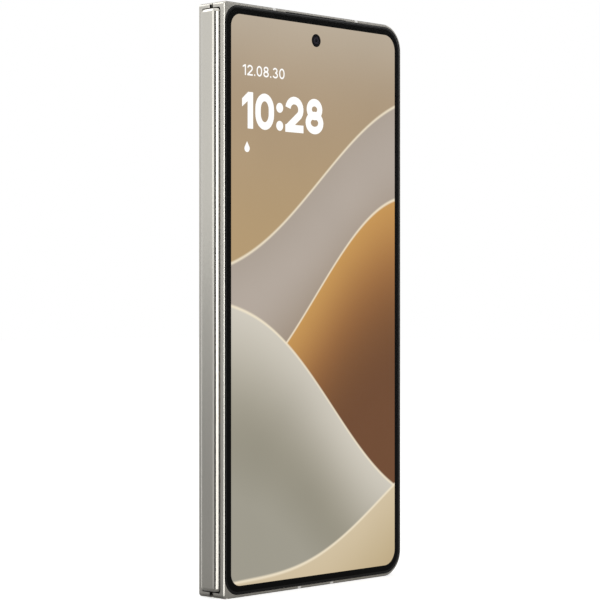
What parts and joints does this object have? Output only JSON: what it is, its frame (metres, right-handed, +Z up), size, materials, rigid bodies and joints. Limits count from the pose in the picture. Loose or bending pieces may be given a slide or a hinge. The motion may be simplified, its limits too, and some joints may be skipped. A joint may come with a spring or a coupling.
{
  "type": "foldable smartphone",
  "caption": "Book-style folding phone, shown shut and upright: two slim halves on a twin-axis spine, an outer screen and a flexible inner screen.",
  "frame": {"origin": "middle of the base that the phone stands on, under its whole box with the camera island", "axes": "+Z up along the hinge, +X from the spine to the free edge, the outer screen faces -Y"},
  "size_m": [0.074, 0.012, 0.16],
  "materials": {
    "satin_metal": "bead blasted and anodised, soft satin",
    "bright_metal": "polished and anodised",
    "matte_glass": "etched glass, satin",
    "band_plastic": "matte",
    "black_glass": "polished glass over black ink",
    "display": "lit screen",
    "flex_screen": "smooth plastic film, glossy",
    "bezel_rubber": "soft matte",
    "flash_lens": "frosted lens over a phosphor patch",
    "module_black": "matte",
    "cell_wrap": "satin film",
    "board_green": "solder mask",
    "shield_steel": "tinned",
    "coil_copper": "lacquered copper",
    "flex_amber": "polyimide film",
    "hinge_steel": "ground",
    "magnet_nickel": "nickel plated"
  },
  "bodies": {
    "rear_half": {"rear_frame": "satin_metal", "rear_cover": "matte_glass", "rear_antenna_bands": "band_plastic", "camera_island": "satin_metal", "camera_rings": "bright_metal", "camera_windows": "black_glass", "camera_modules": "module_black", "flash_window": "flash_lens", "flash_module": "module_black", "rear_battery": "cell_wrap", "main_board": "board_green", "board_shields": "shield_steel", "charging_coil": "coil_copper", "charging_socket": "shield_steel", "loudspeaker": "module_black", "vibration_motor": "shield_steel", "rear_magnets": "magnet_nickel", "key_switch_strip": "flex_amber", "rear_screen": "flex_screen", "rear_screen_bezel": "bezel_rubber", "inner_camera": "black_glass", "rear_hinge_brackets": "hinge_steel", "rear_bracket_screws": "hinge_steel", "card_reader": "shield_steel"},
    "hinge_spine": {"spine_cover": "bright_metal", "hinge_blocks": "hinge_steel", "sync_block": "hinge_steel", "gear_shafts": "hinge_steel", "friction_rings": "hinge_steel", "screen_support": "hinge_steel", "screen_fold": "flex_screen", "hinge_flex_cables": "flex_amber"},
    "front_half": {"front_frame": "satin_metal", "cover_glass": "black_glass", "cover_screen": "display", "cover_camera": "black_glass", "earpiece": "module_black", "earpiece_mesh": "module_black", "front_antenna_bands": "band_plastic", "front_battery": "cell_wrap", "lower_board": "board_green", "front_magnets": "magnet_nickel", "front_screen": "flex_screen", "front_screen_bezel": "bezel_rubber", "front_hinge_brackets": "hinge_steel", "front_bracket_screws": "hinge_steel"},
    "rear_wing": {"rear_wing_plate": "hinge_steel"},
    "front_wing": {"front_wing_plate": "hinge_steel"},
    "rear_arm": {"rear_sync_arm": "hinge_steel"},
    "front_arm": {"front_sync_arm": "hinge_steel"},
    "rear_idler": {"rear_idler_gear": "hinge_steel"},
    "front_idler": {"front_idler_gear": "hinge_steel"},
    "power_key": {"power_button": "bright_metal"},
    "volume_key": {"volume_rocker": "bright_metal"},
    "card_carrier": {"card_tray": "satin_metal"}
  },
  "joints": [
    {"name": "rear_fold", "type": "hinge", "parent": "rear_half", "child": "hinge_spine", "pos_m": [-0.03455, -0.00006, 0.08], "axis": [0, 0, -1], "range_deg": [0, 90], "deforming": ["screen_fold", "hinge_flex_cables"]},
    {"name": "front_fold", "type": "hinge", "parent": "hinge_spine", "child": "front_half", "pos_m": [-0.03455, -0.00214, 0.08], "axis": [0, 0, -1], "range_deg": [0, 90]},
    {"name": "rear_arm_swing", "type": "hinge", "parent": "hinge_spine", "child": "rear_arm", "pos_m": [-0.03561, 0.00077, 0.08], "axis": [0, 0, -1], "range_deg": [-90, 0]},
    {"name": "front_arm_swing", "type": "hinge", "parent": "hinge_spine", "child": "front_arm", "pos_m": [-0.03561, -0.00297, 0.08], "axis": [0, 0, -1], "range_deg": [0, 90]},
    {"name": "rear_idler_turn", "type": "hinge", "parent": "hinge_spine", "child": "rear_idler", "pos_m": [-0.03561, -0.00048, 0.08], "axis": [0, 0, -1], "range_deg": [0, 90]},
    {"name": "front_idler_turn", "type": "hinge", "parent": "hinge_spine", "child": "front_idler", "pos_m": [-0.03561, -0.00172, 0.08], "axis": [0, 0, -1], "range_deg": [-90, 0]},
    {"name": "rear_wing_tilt", "type": "hinge", "parent": "rear_half", "child": "rear_wing", "pos_m": [-0.02339, 0.00016, 0.08], "axis": [0, 0, 1], "range_deg": [0, 10]},
    {"name": "front_wing_tilt", "type": "hinge", "parent": "front_half", "child": "front_wing", "pos_m": [-0.02339, -0.00236, 0.08], "axis": [0, 0, -1], "range_deg": [0, 10]},
    {"name": "power_press", "type": "slide", "parent": "rear_half", "child": "power_key", "axis": [-1, 0, 0], "range_m": [0, 0.00025], "stiffness_N_per_m": 300},
    {"name": "volume_rock", "type": "hinge", "parent": "rear_half", "child": "volume_key", "pos_m": [0.03401, 0.0016, 0.118], "axis": [0, 1, 0], "range_deg": [-1.2, 1.2], "stiffness_Nm_per_rad": 0.02},
    {"name": "tray_slide", "type": "slide", "parent": "rear_half", "child": "card_carrier", "axis": [0, 0, 1], "range_m": [0, 0.021]}
  ],
  "couplings": [
    {"joint": "front_fold", "follows": "rear_fold", "ratio": 1},
    {"joint": "rear_arm_swing", "follows": "rear_fold", "ratio": -1},
    {"joint": "front_arm_swing", "follows": "rear_fold", "ratio": 1},
    {"joint": "rear_idler_turn", "follows": "rear_fold", "ratio": 1},
    {"joint": "front_idler_turn", "follows": "rear_fold", "ratio": -1},
    {"joint": "rear_wing_tilt", "follows": "rear_fold", "ratio": 0.11111},
    {"joint": "front_wing_tilt", "follows": "rear_fold", "ratio": 0.11111}
  ]
}
